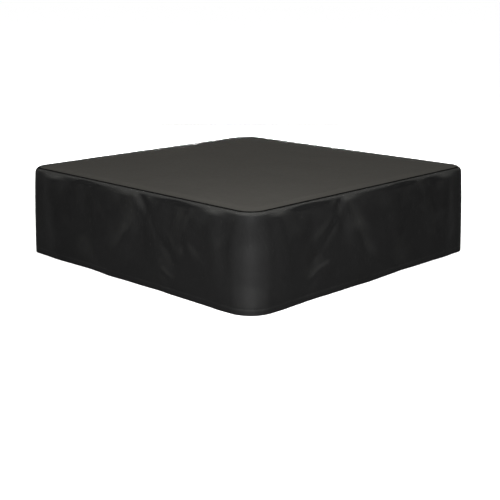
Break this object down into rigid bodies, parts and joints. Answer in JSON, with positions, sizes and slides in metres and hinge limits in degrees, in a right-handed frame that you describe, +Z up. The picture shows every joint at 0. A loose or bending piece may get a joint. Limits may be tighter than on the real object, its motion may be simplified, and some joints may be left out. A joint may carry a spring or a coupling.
{
  "type": "fitted spa cover",
  "caption": "Fitted cloth cap with a flat top, piped top seam and deep skirt that slips over the top of a square hot tub and is held by an elastic hem.",
  "frame": {"origin": "centre of the hem's footprint, on the surface that the hem would stand on", "axes": "+Z up, towards the flat top; -Y towards the front; +X to the right"},
  "size_m": [1.876, 1.876, 0.52],
  "materials": {
    "top_cloth": "coated black woven cloth, weathered by light from above",
    "skirt_cloth": "coated black woven cloth",
    "piping_cloth": "black bias-cut coated cloth",
    "piping_filler": "undyed cotton cord",
    "binding_tape": "black ribbed tape",
    "woven_elastic": "black woven elastic"
  },
  "bodies": {
    "root": {"top_panel": "top_cloth", "front_skirt": "skirt_cloth", "rear_skirt": "skirt_cloth", "top_piping_sleeve": "piping_cloth", "top_piping_filler": "piping_filler", "top_seam_binding": "binding_tape", "left_corner_binding": "binding_tape", "right_corner_binding": "binding_tape", "hem_elastic": "woven_elastic"}
  },
  "joints": []
}
